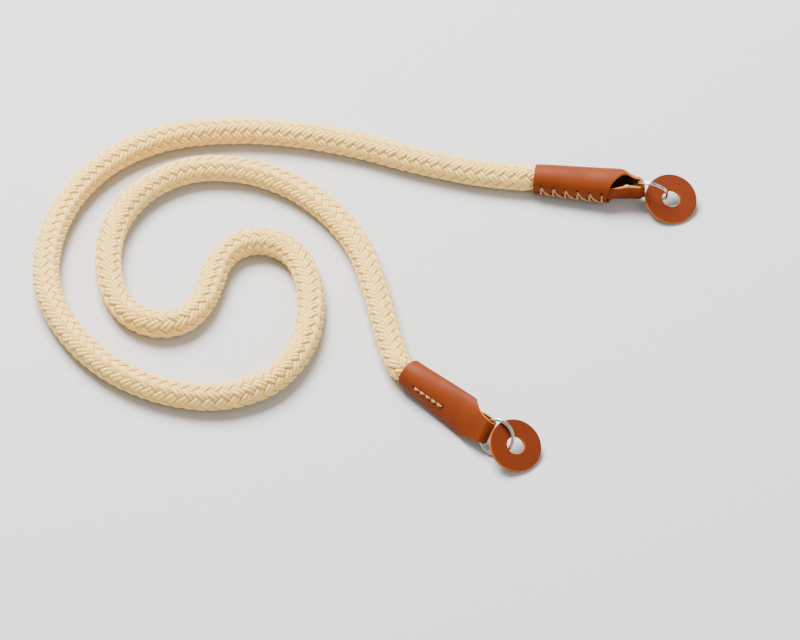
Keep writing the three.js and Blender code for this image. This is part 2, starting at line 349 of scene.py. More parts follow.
def tube_piece(name, rings, material):
    """Closed tubes through rings of points, with a face on each end."""
    count, places, sides = rings.shape[:3]
    tubes = np.arange(count) * places * sides
    walls = (tubes[:, None, None] + grid_quads(places, sides, wrapped=True)).reshape(-1, 4)
    first = tubes[:, None] + np.arange(sides)[::-1]
    last = tubes[:, None] + (places - 1) * sides + np.arange(sides)
    return make_piece(name, rings.reshape(-1, 3), [walls, first, last], material)


def per_ring(values, sides):
    """One value for each ring of tubes, repeated for each of its points."""
    return np.repeat(values.reshape(-1), sides)


# Places of the ends

def turned(axis, degrees):
    """The matrix of a turn about an axis."""
    return np.array(Matrix.Rotation(math.radians(degrees), 3, axis))


def sleeve_to_world(end, points):
    """Points of a sleeve's own frame where the end lies: X is out along the strap, Z on the tongue's side."""
    turn = turned("Z", end["heading"]) @ turned("Y", -end["pitch"]) @ turned("X", end["roll"])
    return points @ turn.T + MM * np.array(end["lip"])


def ring_to_world(end, points):
    """Points round the wire's place in the fold, swung there and turned with the sleeve."""
    tongue, ring = end["tongue"], end["ring"]
    pivot = np.array([FOLD_REACH - RING_BEHIND_FOLD, 0, (tongue["rise"] + ring["lift"]) * MM])
    return sleeve_to_world(end, points @ turned("Y", ring["swing"]).T + pivot)


def disc_to_world(end, points):
    """Points of a disc's own frame, with Z along its axis, where the disc leans."""
    disc = end["disc"]
    turn = turned("Y", disc["lean"]) @ turned("X", disc["tilt"])
    leaning = points @ turn.T + MM * np.array(disc["place"])
    x, y, _ = end["lip"]
    return leaning @ turned("Z", end["heading"]).T + MM * np.array([x, y, 0])


def axis_point(end, past_lip):
    """A point on a sleeve's axis."""
    return sleeve_to_world(end, np.array([[past_lip, 0, 0]]))[0]


# Rope

def smooth_curve(points, per_span):
    """A centripetal Catmull-Rom curve: each span is a cubic whose end slopes come from its neighbours, timed
    by the square root of the spans' lengths, with a mirrored point past each end."""
    padded = np.vstack([2 * points[0] - points[1], points, 2 * points[-1] - points[-2]])
    p0, p1, p2, p3 = padded[:-3], padded[1:-2], padded[2:-1], padded[3:]
    time = np.sqrt(np.linalg.norm(np.diff(padded, axis=0), axis=1))[:, None]
    d0, d1, d2 = time[:-2], time[1:-1], time[2:]
    slope1 = d1 * ((p1 - p0) / d0 - (p2 - p0) / (d0 + d1) + (p2 - p1) / d1)
    slope2 = d1 * ((p2 - p1) / d1 - (p3 - p1) / (d1 + d2) + (p3 - p2) / d2)
    u = np.linspace(0, 1, per_span, endpoint=False)[:, None, None]
    square = -3 * p1 + 3 * p2 - 2 * slope1 - slope2
    cube = 2 * p1 - 2 * p2 + slope1 + slope2
    spans = p1 + slope1 * u + square * u**2 + cube * u**3
    return np.vstack([spans.transpose(1, 0, 2).reshape(-1, 3), points[-1:]])


def rope_line(radius, step):
    """Points of the rope's middle line at an even step, and their distances along it."""
    far, near = ENDS["far"], ENDS["near"]
    past = (ROPE_IN_SLEEVE, STRAIGHT_PAST_LIP, -STRAIGHT_BEFORE_LIP)
    free = np.column_stack([ROUTE, np.full(len(ROUTE), radius)])
    points = np.vstack([
        [axis_point(far, way) for way in past], free, [axis_point(near, way) for way in past[::-1]]])
    dense = smooth_curve(points, per_span=80)
    way = np.concatenate([[0], np.cumsum(np.linalg.norm(np.diff(dense, axis=0), axis=1))])
    places = np.linspace(0, way[-1], round(way[-1] / step) + 1)
    return np.column_stack([np.interp(places, way, column) for column in dense.T]), places


def rope_squeeze(places):
    """Share of its full radius that the rope has, which falls where a sleeve grips it."""
    past_lip = ROPE_IN_SLEEVE - np.minimum(places, places[-1] - places)
    return np.interp(past_lip, ROPE_NECK[:, 0], ROPE_NECK[:, 1]) / ROPE_NECK[0, 1]


def rope_sides(line):
    """Directions across the rope, level and upright, at each point of its line."""
    along = unit(np.gradient(line, axis=0))
    level = unit(np.cross(UPRIGHT, along))
    return level, np.cross(along, level)


def strand_rings(rope, line, places, strands, sense, sides):
    """Rings of the yarns that wind one way, their height in the braid, and their way along.

    A strand's angle grows evenly along the rope, with a slow turn of the whole braid. Its two yarns lie side
    by side. Its radius is a wave, a plain cosine mixed with a flattened one, which rises over two strands of
    the other way and dives under the next two. The whole braid shrinks where a sleeve grips it.
    """
    level, upright = rope_sides(line)
    yarn = (strands[:, None] + rope.yarn_spacing * np.array([-0.5, 0.5])).reshape(-1, 1)
    strand = np.repeat(strands, 2)[:, None]
    way = sense * places / rope.pitch
    slow_turn = np.sum([size * np.sin(TURN * places / length) for size, length in SLOW_TURNS], axis=0)
    angle = TURN * (yarn / rope.carriers + way) + slow_turn
    crossing = strand + yarn + 2 * rope.carriers * way
    wave = np.cos(math.pi / 2 * (crossing - 0.5))
    lift = sense * mix(wave, np.sin(math.pi / 2 * wave), WAVE_FLATTENING)
    squeeze = rope_squeeze(places)
    middle = rope.diameter / 2 - rope.wave - rope.yarn_thickness / 2
    radius = squeeze * (middle + rope.wave * lift)
    outward = np.cos(angle)[..., None] * level + np.sin(angle)[..., None] * upright
    paths = line + radius[..., None] * outward
    half_width = squeeze * rope.yarn_width / 2
    half_height = squeeze * rope.yarn_thickness / 2
    rings = swept_rings(paths, outward, half_width, half_height, sides, YARN_SQUARENESS)
    return rings, lift, np.broadcast_to(places, lift.shape)


def make_core(rope, material):
    """The filling of the braid: a round tube along the rope's line."""
    line, places = rope_line(rope.diameter / 2, step=4 * MM)
    level, _ = rope_sides(line)
    radius = rope_squeeze(places) * rope.core_diameter / 2
    rings = swept_rings(line[None], level[None], radius, radius, sides=16)
    return tube_piece("rope_core", rings, material), line, places[-1]


def make_strands(rope, sense, half, material):
    """Half of the strands that wind one way: every other strand, two yarns each."""
    sides = 8
    line, places = rope_line(rope.diameter / 2, step=0.9 * MM)
    strands = np.arange(half, rope.carriers, 2)
    rings, lift, way = strand_rings(rope, line, places, strands, sense, sides)
    name = f"rope_strands_{'right' if sense > 0 else 'left'}_{half + 1}"
    piece = tube_piece(name, rings, material)
    count = len(rings)
    seed = 20 * half + sense + 1
    tone = np.random.default_rng(seed).uniform(0, 1, count)
    around = np.tile(np.arange(sides) / sides, count * len(places))
    place = np.column_stack([
        per_ring(way, sides), around, np.repeat(tone, len(places) * sides)])
    set_attribute(piece, "yarn", place)
    # The lift also masks the painted shade where a yarn dives.
    set_attribute(piece, "lift", per_ring(lift, sides))
    return piece


# Leather sleeves

def eased_column(at, table, column, stretch):
    """A column of a table at the given places, averaged over a short stretch so that it has no corners."""
    shifts = np.linspace(-stretch, stretch, 9)
    return np.mean([np.interp(at + shift, table[:, 0], table[:, column]) for shift in shifts], axis=0)


def mix(a, b, share):
    """The value a share of the way from a to b."""
    return a + (b - a) * share


def sleeve_oval(end, along):
    """Half sizes of the sleeve's oval: round at the lip, and from the end of its seam on as the mouth is."""
    share = np.clip(along / SLEEVE_LENGTH, 0, 1)
    wide, high = end["mouth"]
    return mix(LIP_RADIUS, wide * MM, share), mix(LIP_RADIUS, high * MM, share)


def ease(value, low, high):
    """A share that rises from 0 at low to 1 at high, level at both: three squares less two cubes."""
    share = np.clip((value - low) / (high - low), 0, 1)
    return share**2 * (3 - 2 * share)


def sheet_rows(end, wall):
    """Sections of the sheet in order. Columns: x, z, facing, half sizes of the oval, covered half angle.

    The outward rows flatten from the sleeve's oval to the tongue's. The fold is half a turn about the ring's
    wire. The rows of the way back lie below the tongue and end inside the sleeve.
    """
    tongue = end["tongue"]
    rise = tongue["rise"] * MM
    fold_start = FOLD_REACH - FOLD_BEND - wall / 2
    lip = np.array([0, 0.03, 0.08, 0.16, 0.3]) * MM
    x = np.concatenate([lip, np.arange(0.6, 32, 0.3) * MM, np.linspace(32 * MM, fold_start, 64)])
    flat = ease(x, tongue["flat_from"] * MM, fold_start)
    reach = np.radians(eased_column(x / MM, SHEET_SECTIONS, 1, 0.5))
    tube_wide, tube_high = sleeve_oval(end, x)
    outward = np.column_stack([
        x, mix(tube_high, rise + FOLD_BEND, flat), 0 * x,
        mix(tube_wide, TONGUE_WIDE, flat), mix(tube_high, TONGUE_HIGH, flat), reach])

    facing = np.linspace(0, math.pi, 25)[1:-1]
    fold_reach = np.arcsin((TONGUE_HALF_WIDTH - FOLD_NOTCH * np.sin(facing)) / TONGUE_WIDE)
    same = np.ones_like(facing)
    fold = np.column_stack([
        fold_start + FOLD_BEND * np.sin(facing), rise + FOLD_BEND * np.cos(facing), facing,
        TONGUE_WIDE * same, TONGUE_HIGH * same, fold_reach])

    way = np.linspace(0, RETURN_SECTIONS[-1, 0] * MM, 40)
    tuck = eased_column(way / MM, RETURN_SECTIONS, 1, 1.2)
    half_width = eased_column(way / MM, RETURN_SECTIONS, 2, 1.2) * MM
    x = fold_start - way
    tube_wide, tube_high = sleeve_oval(end, x)
    wide = mix(TONGUE_WIDE, tube_wide - TUCKED_CLEARANCE, tuck)
    back = np.column_stack([
        x, mix(rise - FOLD_BEND, TUCKED_CLEARANCE - tube_high, tuck), np.full_like(x, math.pi), wide,
        mix(TONGUE_HIGH, tube_high - TUCKED_CLEARANCE, tuck), np.arcsin(half_width / wide)])
    return np.vstack([outward, fold, back])


def section_points(rows, angle, offset):
    """Points on ovals, moved by offset along the oval's own normal.

    Across is the half width times the sine of the angle, rise the half height times its cosine less one. The
    rise points the way that the section faces.
    """
    x, z, facing, wide, high = (rows[..., k] for k in range(5))
    normal = unit(np.stack([np.sin(angle) / wide, np.cos(angle) / high], axis=-1)) * offset[..., None]
    across = wide * np.sin(angle) + normal[..., 0]
    rise = high * (np.cos(angle) - 1) + normal[..., 1]
    return np.stack([x + rise * np.sin(facing), across, z + rise * np.cos(facing)], axis=-1)


def hole_places(stitch):
    """Distances of a sleeve's holes from its lip, in the stitch row and in the laced seam."""
    number = np.arange(stitch.holes)
    return stitch.row_start + stitch.row_pitch * number, stitch.lace_start + stitch.lace_pitch * number


def make_sleeve(name, end, leather, stitch, material):
    """One sleeve: a sheet with a wall, rounded at its cut edges and dented at its stitch holes.

    The middle surface is a grid of sections by angles. Each face lies half a wall off it, less near a border
    by the quarter circle of the rounding, and the outer face sinks in a bell curve round each hole.
    """
    rows = sheet_rows(end, leather.wall)
    near_border = np.array([0, 0.0015, 0.005, 0.01, 0.017])
    share = np.concatenate([near_border, np.linspace(0.03, 1.97, 150), 2 - near_border[::-1]])
    angle = rows[:, 5:6] * (1 - share)
    grid = np.repeat(rows[:, None], len(share), axis=1)
    middle = section_points(grid, angle, np.zeros_like(angle))

    girth = np.cumsum(np.linalg.norm(np.diff(middle, axis=1, prepend=middle[:, :1]), axis=-1), axis=1)
    to_side = np.minimum(girth, girth[:, -1:] - girth)
    centre = np.linalg.norm(np.diff(middle[:, len(share) // 2], axis=0), axis=1)
    way = np.concatenate([[0], np.cumsum(centre)])[:, None]
    to_end = np.minimum(way, way[-1] - way)
    short = 1 - np.clip(np.minimum(to_side, to_end) / leather.edge_round, 0, 1)
    half = leather.wall / 2 - leather.edge_round * (1 - np.sqrt(1 - short**2))

    row, lace = hole_places(stitch)
    across = girth - girth[:, -1:] / 2
    row_side = end["row_sense"] * stitch.row_side
    row_distance = np.min(np.hypot(way[..., None] - row, (across - row_side)[..., None]), axis=-1)
    lace_distance = np.min(np.hypot(way[..., None] - lace, (to_side - stitch.lace_reach)[..., None]), axis=-1)
    distance = np.minimum(row_distance, lace_distance)
    hole = np.exp(-((distance / stitch.hole_radius) ** 4))
    pulled = np.exp(-((distance / (PULL_REACH * stitch.hole_radius)) ** 2))
    swell = SWELL_HEIGHT * np.sin(way / SWELL_ALONG) * np.sin(across / SWELL_ACROSS + 1)

    sunk = HOLE_DEPTH * leather.wall * hole + PULL_DEPTH * pulled
    outer = section_points(grid, angle, half + swell - sunk)
    inner = section_points(grid, angle, -half)
    rows_count, columns = angle.shape
    count = rows_count * columns
    index = np.arange(count).reshape(rows_count, columns)
    border = np.concatenate([index[0], index[1:, -1], index[-1, -2::-1], index[-2:0:-1, 0]])
    rim = np.stack([border, border + count, np.roll(border, -1) + count, np.roll(border, -1)], axis=-1)
    faces = [grid_quads(rows_count, columns), grid_quads(rows_count, columns, count, flipped=True), rim]
    points = sleeve_to_world(end, np.concatenate([outer, inner]).reshape(-1, 3))
    piece = make_piece(name, points, faces, material)

    in_seam = (rows[:, 0:1] < SLEEVE_LENGTH) & (rows[:, 2:3] == 0)
    end_edge = 1 - np.clip(to_end / leather.edge_round, 0, 1)
    edge = np.where(in_seam, end_edge, short)
    inside = np.repeat([0.0, 1.0], count)
    # The hole share is also the mask of the painted shade in the holes.
    punched = np.concatenate([hole.ravel(), np.zeros(count)])
    set_attribute(piece, "leather", np.column_stack([np.tile(edge.ravel(), 2), inside, punched]))
    return piece


# Stitches

def sleeve_surface(end, along, angle, offset):
    """Points over the sleeve's middle surface, at an angle from the tongue's middle line."""
    wide, high = sleeve_oval(end, along)
    none = np.zeros_like(along)
    rows = np.stack([along, high, none, wide, high], axis=-1)
    return section_points(rows, angle, offset)


def ply_paths(paths, outward, radius, turns):
    """Two plies wound round each path: a double helix of the given radius."""
    along = unit(np.gradient(paths, axis=1))
    height = unit(outward - along * np.sum(outward * along, axis=-1, keepdims=True))
    width = np.cross(height, along)
    phase = TURN * turns * np.linspace(0, 1, paths.shape[1])[:, None]
    plies = [paths + radius * (np.cos(phase + start) * width + np.sin(phase + start) * height)
             for start in (0, math.pi)]
    return np.concatenate(plies), np.tile(height, (2, 1, 1))


def stitch_paths(end, start, finish, proud):
    """Lines over the sleeve's outer face from one hole to another, and the way out from it along them.

    The way along and the angle run evenly from start to finish. The height is the square root of a half sine
    wave, so that the thread comes straight up out of one hole and goes straight down the other.
    """
    t = np.linspace(0, 1, STITCH_PLACES)
    along = mix(start[0][:, None], finish[0][:, None], t)
    angle = mix(start[1][:, None], finish[1][:, None], t)
    arch = np.sin(math.pi * t) ** 0.5
    height = np.broadcast_to(mix(-THREAD_SUNK, proud, arch), along.shape)
    points = sleeve_surface(end, along, angle, height)
    outward = sleeve_surface(end, along, angle, height + MM) - points
    return sleeve_to_world(end, points), sleeve_to_world(end, outward) - sleeve_to_world(end, 0 * outward)


def make_stitches(name, end, leather, stitch, material):
    """The thread of one sleeve: a row of short stitches, and a lace that zigzags over the seam."""
    row, lace = hole_places(stitch)
    ply = stitch.diameter / 4
    proud = leather.wall / 2 + stitch.diameter / 5
    wide, _ = sleeve_oval(end, row)
    row_angle = -end["row_sense"] * stitch.row_side / wide
    from_hole = ROW_FROM_HOLE * stitch.hole_radius
    row_lines, row_outward = stitch_paths(
        end, (row[:-1] + from_hole, row_angle[:-1]), (row[1:] - from_hole, row_angle[1:]), proud)

    wide, high = sleeve_oval(end, lace)
    halfway = stitch.lace_reach / (2 * wide)
    bend = np.hypot(wide * np.cos(halfway), high * np.sin(halfway))
    from_seam = stitch.lace_reach - LACE_FROM_HOLE * stitch.hole_radius
    hole_angle = math.radians(SHEET_SECTIONS[0, 1]) - from_seam / bend
    level_lines, level_outward = stitch_paths(end, (lace, -hole_angle), (lace, hole_angle - TURN), proud)
    slant_lines, slant_outward = stitch_paths(
        end, (lace[:-1], -hole_angle[:-1]), (lace[1:], hole_angle[1:] - TURN), proud)

    lines = np.concatenate([row_lines, level_lines, slant_lines])
    outward = np.concatenate([row_outward, level_outward, slant_outward])
    plies, ply_outward = ply_paths(lines, outward, ply, PLY_TURNS)
    sides = 10
    rings = swept_rings(plies, ply_outward, PLY_RADIUS * ply, PLY_RADIUS * ply, sides)
    piece = tube_piece(name, rings, material)
    steps = np.linalg.norm(np.diff(plies, axis=1, prepend=plies[:, :1]), axis=-1)
    way = np.cumsum(steps, axis=1)
    around = np.tile(np.arange(sides) / sides, way.size)
    tone = np.repeat(np.linspace(0, 1, len(plies)), way.shape[1] * sides)
    set_attribute(piece, "yarn", np.column_stack([per_ring(way, sides), around, tone]))
    return piece


# Rings and discs

def make_ring(name, end, ring, material):
    """A split ring: a flat wire wound twice, once round below, up a step and once round above."""
    half_step = ring.step / 2
    angle = np.linspace(half_step, 2 * TURN - half_step, RING_PLACES)
    climb = ease(angle, TURN - half_step, TURN + half_step)
    level = (ring.wire_axial + ring.turn_gap) / 2
    middle = ring.outer_radius - ring.wire_radial / 2
    at = angle + math.radians(end["ring"]["step_at"])
    outward = np.stack([np.cos(at), np.sin(at), np.zeros_like(at)], axis=-1)
    path = middle * outward + mix(-level, level, climb)[:, None] * UPRIGHT
    rings = swept_rings(
        path[None], outward[None], ring.wire_axial / 2, ring.wire_radial / 2, sides=20, squareness=3.2)
    in_fold = rings.reshape(-1, 3) + np.array([middle, 0, 0])
    return tube_piece(name, ring_to_world(end, in_fold).reshape(rings.shape), material)


def make_disc(name, end, disc, leather, material):
    """A leather disc: a closed profile carried round its axis, a flat strip with rounded corners, with a slow
    swell in its faces."""
    half = disc.thickness / 2
    bend = leather.edge_round * DISC_ROUNDING
    corner = np.linspace(0, math.pi / 2, 6)
    outer = disc.radius - bend
    hole = disc.hole_radius + bend
    face = np.linspace(hole, outer, 24)[1:-1]
    radius = np.concatenate([
        hole - bend * np.cos(corner), face, outer + bend * np.sin(corner),
        outer + bend * np.cos(corner), face[::-1], hole - bend * np.sin(corner)])
    height = np.concatenate([
        half - bend + bend * np.sin(corner), np.full(len(face), half), half - bend + bend * np.cos(corner),
        bend - half - bend * np.sin(corner), np.full(len(face), -half), bend - half - bend * np.cos(corner)])
    round_it = TURN * np.arange(DISC_PLACES) / DISC_PLACES
    swell = DISC_SWELL * np.sin(2 * round_it + 0.7)[:, None] * (radius / disc.radius)
    points = np.stack([
        np.cos(round_it)[:, None] * radius, np.sin(round_it)[:, None] * radius, height + swell], axis=-1)
    count = DISC_PLACES * len(radius)
    quads = grid_quads(DISC_PLACES + 1, len(radius), wrapped=True, flipped=True) % count
    piece = make_piece(name, disc_to_world(end, points.reshape(-1, 3)), [quads], material)
    to_border = np.minimum(disc.radius - radius, radius - disc.hole_radius)
    edge = np.clip(1 - to_border / bend, 0, 1)
    back = (height < 0) * (1 - edge)
    set_attribute(piece, "leather", np.tile(np.column_stack([edge, back, 0 * edge]), (DISC_PLACES, 1)))
    return piece


# Materials

def add_node(tree, kind, inputs=None, **options):
    """Adds a node, sets its options, and sets or links its inputs."""
    node = tree.nodes.new(kind)
    for option, value in options.items():
        setattr(node, option, value)
    for socket, value in (inputs or {}).items():
        if isinstance(value, bpy.types.NodeSocket):
            tree.links.new(value, node.inputs[socket])
        else:
            node.inputs[socket].default_value = value
    return node


def math_node(tree, operation, a, b=0.0):
    """The result of one sum on two numbers."""
    return add_node(tree, "ShaderNodeMath", {0: a, 1: b}, operation=operation).outputs[0]


def mix_colour(tree, factor, a, b, blend="MIX"):
    """A blend of two colours."""
    node = add_node(tree, "ShaderNodeMix", {0: factor, 6: a, 7: b}, data_type="RGBA", blend_type=blend)
    return node.outputs[2]


def opaque(colour):
    """A colour with full alpha."""
    return (*colour, 1.0)


def spread(tree, value, given, wanted):
    """A number moved from one range to another and held in it."""
    node = add_node(tree, "ShaderNodeMapRange", {
        "Value": value, "From Min": given[0], "From Max": given[1], "To Min": wanted[0], "To Max": wanted[1]})
    return node.outputs[0]


def new_material(name):
    """An empty node material, its shader and its tree."""
    material = bpy.data.materials.new(name)
    material.use_nodes = True
    tree = material.node_tree
    return material, tree, tree.nodes["Principled BSDF"]


def new_group(name, inputs, outputs):
    """An empty shader group with named sockets."""
    group = bpy.data.node_groups.new(name, "ShaderNodeTree")
    for socket, kind in inputs:
        group.interface.new_socket(socket, in_out="INPUT", socket_type=kind)
    for socket, kind in outputs:
        group.interface.new_socket(socket, in_out="OUTPUT", socket_type=kind)
    return group, add_node(group, "NodeGroupInput").outputs, add_node(group, "NodeGroupOutput").inputs


def yarn_group():
    """Twisted fibres of a yarn, from its way along, its angle round and its tone."""
    name = "Twisted fibres"
    if name in bpy.data.node_groups:
        return bpy.data.node_groups[name]
    number = "NodeSocketFloat"
    group, given, result = new_group(
        name,
        [("Place", "NodeSocketVector"), ("Twist", number), ("Plies", number)],
        [("Height", number), ("Streak", number)])
    place = add_node(group, "ShaderNodeSeparateXYZ", {0: given["Place"]}).outputs
    wound = math_node(group, "ADD", math_node(group, "DIVIDE", place["X"], given["Twist"]), place["Y"])
    ridge = math_node(group, "SINE", math_node(group, "MULTIPLY", math_node(
        group, "MULTIPLY", wound, given["Plies"]), TURN))
    spot = add_node(group, "ShaderNodeCombineXYZ", {
        "X": math_node(group, "MULTIPLY", place["X"], 260.0),
        "Y": math_node(group, "MULTIPLY", wound, 14.0),
        "Z": math_node(group, "MULTIPLY", place["Z"], 50.0)})
    fibre = add_node(group, "ShaderNodeTexNoise", {
        "Vector": spot.outputs[0], "Scale": 1.0, "Detail": 3.0, "Roughness": 0.6})
    streak = spread(group, fibre.outputs[0], (0.3, 0.7), (0.0, 1.0))
    height = math_node(group, "ADD", math_node(group, "MULTIPLY", ridge, 0.35), streak)
    group.links.new(height, result["Height"])
    group.links.new(streak, result["Streak"])
    return group


def grain_group():
    """Full-grain leather: fine pores, wide clouds in the tan, and the gloss that goes with them."""
    name = "Leather grain"
    if name in bpy.data.node_groups:
        return bpy.data.node_groups[name]
    number = "NodeSocketFloat"
    group, given, result = new_group(
        name,
        [("Vector", "NodeSocketVector"), ("Pores per metre", number), ("Colour", "NodeSocketColor"),
         ("Dark", "NodeSocketColor")],
        [("Colour", "NodeSocketColor"), ("Height", number), ("Roughness", number)])
    cloud = add_node(group, "ShaderNodeTexNoise", {
        "Vector": given["Vector"], "Scale": 95.0, "Detail": 4.0, "Roughness": 0.55})
    pores = add_node(group, "ShaderNodeTexVoronoi", {
        "Vector": given["Vector"], "Scale": given["Pores per metre"], "Randomness": 1.0}, feature="F1")
    fine = add_node(group, "ShaderNodeTexNoise", {
        "Vector": given["Vector"], "Scale": 2600.0, "Detail": 3.0, "Roughness": 0.6})
    tan = spread(group, cloud.outputs[0], (0.35, 0.75), (0.0, 0.55))
    colour = mix_colour(group, tan, given["Colour"], given["Dark"])
    speck = spread(group, fine.outputs[0], (0.35, 0.65), (0.92, 1.06))
    shaded = mix_colour(group, 1.0, colour, speck, "MULTIPLY")
    height = math_node(group, "ADD", pores.outputs["Distance"], math_node(
        group, "MULTIPLY", fine.outputs[0], 0.5))
    group.links.new(shaded, result["Colour"])
    group.links.new(height, result["Height"])
    group.links.new(spread(group, cloud.outputs[0], (0.3, 0.7), (0.5, 0.64)), result["Roughness"])
    return group


def cotton_material(rope):
    """Soft cotton yarn with twisted fibres: pale on top, and darker with painted shade where it dives under
    another yarn.
    """
    material, tree, shader = new_material("rope_cotton_yarn")
    place = add_node(tree, "ShaderNodeAttribute", attribute_name="yarn").outputs["Vector"]
    lift = add_node(tree, "ShaderNodeAttribute", attribute_name="lift").outputs["Fac"]
    fibres = add_node(tree, "ShaderNodeGroup", node_tree=yarn_group())
    fibres.inputs["Twist"].default_value = 0.006
    fibres.inputs["Plies"].default_value = 3.0
    tree.links.new(place, fibres.inputs["Place"])
    # Painted shade: the colour falls to the shade colour where a yarn dives, as its lift drops.
    on_top = spread(tree, lift, (-0.5, 0.55), (0.0, 1.0))
    colour = mix_colour(tree, on_top, opaque(rope.shade), opaque(rope.colour))
    tone = add_node(tree, "ShaderNodeSeparateXYZ", {0: place}).outputs["Z"]
    light = math_node(tree, "ADD", spread(tree, tone, (0.0, 1.0), (0.95, 1.03)), spread(
        tree, fibres.outputs["Streak"], (0.0, 1.0), (-0.16, 0.04)))
    coloured = mix_colour(tree, 1.0, colour, light, "MULTIPLY")
    tree.links.new(coloured, shader.inputs["Base Color"])
    bump = add_node(tree, "ShaderNodeBump", {
        "Height": fibres.outputs["Height"], "Strength": 0.7, "Distance": 0.00014})
    tree.links.new(bump.outputs[0], shader.inputs["Normal"])
    shader.inputs["Roughness"].default_value = 0.88
    shader.inputs["Sheen Weight"].default_value = 0.25
    shader.inputs["Sheen Roughness"].default_value = 0.5
    shader.inputs["Specular IOR Level"].default_value = 0.3
    return material


def core_material(rope):
    """Loose cotton of the filling, seen only between the yarns, with the painted shade of the gaps as its
    colour.
    """
    material, tree, shader = new_material("rope_cotton_core")
    place = add_node(tree, "ShaderNodeTexCoord").outputs["Object"]
    lint = add_node(tree, "ShaderNodeTexNoise", {"Vector": place, "Scale": 900.0, "Detail": 3.0})
    shade = spread(tree, lint.outputs[0], (0.3, 0.7), (0.6, 0.9))
    # Painted shade: the filling takes the shade colour of the gaps, varied by lint.
    tree.links.new(mix_colour(tree, 1.0, opaque(rope.shade), shade, "MULTIPLY"), shader.inputs["Base Color"])
    shader.inputs["Roughness"].default_value = 0.95
    return material


def leather_material(name, leather, colour):
    """Tanned leather: grain side, paler cut edges, a dull flesh side, and near-black painted shade in the
    punched holes.
    """
    material, tree, shader = new_material(name)
    place = add_node(tree, "ShaderNodeTexCoord").outputs["Object"]
    grain = add_node(tree, "ShaderNodeGroup", node_tree=grain_group())
    tree.links.new(place, grain.inputs["Vector"])
    grain.inputs["Pores per metre"].default_value = 1500.0
    grain.inputs["Colour"].default_value = opaque(colour)
    grain.inputs["Dark"].default_value = opaque(leather.dark)
    marks = add_node(tree, "ShaderNodeAttribute", attribute_name="leather").outputs["Vector"]
    edge, inside, hole = add_node(tree, "ShaderNodeSeparateXYZ", {0: marks}).outputs
    cut = spread(tree, edge, (0.25, 0.85), (0.0, 1.0))
    punched = spread(tree, hole, (0.25, 0.6), (0.0, 1.0))
    sides = mix_colour(tree, inside, grain.outputs["Colour"], opaque(leather.flesh))
    edged = mix_colour(tree, cut, sides, opaque(leather.edge))
    # Painted shade: the holes are coloured near black.
    tree.links.new(mix_colour(tree, punched, edged, opaque(HOLE_PAINTED_SHADE)), shader.inputs["Base Color"])
    dull = math_node(tree, "MULTIPLY", math_node(tree, "MAXIMUM", inside, cut), 0.35)
    tree.links.new(math_node(tree, "ADD", grain.outputs["Roughness"], dull), shader.inputs["Roughness"])
    bump = add_node(tree, "ShaderNodeBump", {
        "Height": grain.outputs["Height"], "Strength": 0.25, "Distance": 0.0001})
    tree.links.new(bump.outputs[0], shader.inputs["Normal"])
    shader.inputs["Specular IOR Level"].default_value = 0.11
    return material


def thread_material(stitch):
    """Waxed thread of two plies."""
    material, tree, shader = new_material("waxed_thread")
    place = add_node(tree, "ShaderNodeAttribute", attribute_name="yarn").outputs["Vector"]
    fibres = add_node(tree, "ShaderNodeGroup", node_tree=yarn_group())
    fibres.inputs["Twist"].default_value = 0.0025
    fibres.inputs["Plies"].default_value = 2.0
    tree.links.new(place, fibres.inputs["Place"])
    light = spread(tree, fibres.outputs["Streak"], (0.0, 1.0), (0.8, 1.05))
    coloured = mix_colour(tree, 1.0, opaque(stitch.colour), light, "MULTIPLY")
    tree.links.new(coloured, shader.inputs["Base Color"])
    bump = add_node(tree, "ShaderNodeBump", {
        "Height": fibres.outputs["Height"], "Strength": 0.4, "Distance": 0.00006})
    tree.links.new(bump.outputs[0], shader.inputs["Normal"])
    shader.inputs["Roughness"].default_value = 0.6
    return material


def nickel_material(ring):
    """Nickel-plated spring steel with fine rub marks."""
    material, tree, shader = new_material("ring_nickel_wire")
    place = add_node(tree, "ShaderNodeTexCoord").outputs["Object"]
    rubs = add_node(tree, "ShaderNodeTexNoise", {
        "Vector": place, "Scale": 1400.0, "Detail": 5.0, "Roughness": 0.7})
    shade = spread(tree, rubs.outputs[0], (0.3, 0.7), (0.9, 1.0))
    tree.links.new(mix_colour(tree, 1.0, opaque(ring.colour), shade, "MULTIPLY"), shader.inputs["Base Color"])
    tree.links.new(spread(tree, rubs.outputs[0], (0.35, 0.7), (0.12, 0.3)), shader.inputs["Roughness"])
    shader.inputs["Metallic"].default_value = 1.0
    return material


def floor_material(stage):
    """Plain matt floor."""
    material, _, shader = new_material("studio_floor")
    shader.inputs["Base Color"].default_value = opaque(stage.floor)
    shader.inputs["Roughness"].default_value = 0.9
    shader.inputs["Specular IOR Level"].default_value = 0.1
    return material


# Operators

def on_body(piece, slot, *nodes):
    """Puts a piece on the strap's body and hides the solids that it stands for. The slot, its finish, is not
    used.
    """
    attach(piece, BODY)
    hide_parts(*nodes)
    return piece


def add_light(name, place, size, power):
    """A square area light that looks at the camera's target."""
    light = bpy.data.lights.new(name, "AREA")
    light.size = size
    light.energy = power
    lamp = bpy.data.objects.new(name, light)
    lamp.location = place
    lamp.rotation_euler = (Vector(TARGET) - Vector(place)).to_track_quat("-Z", "Y").to_euler()
    bpy.context.scene.collection.objects.link(lamp)


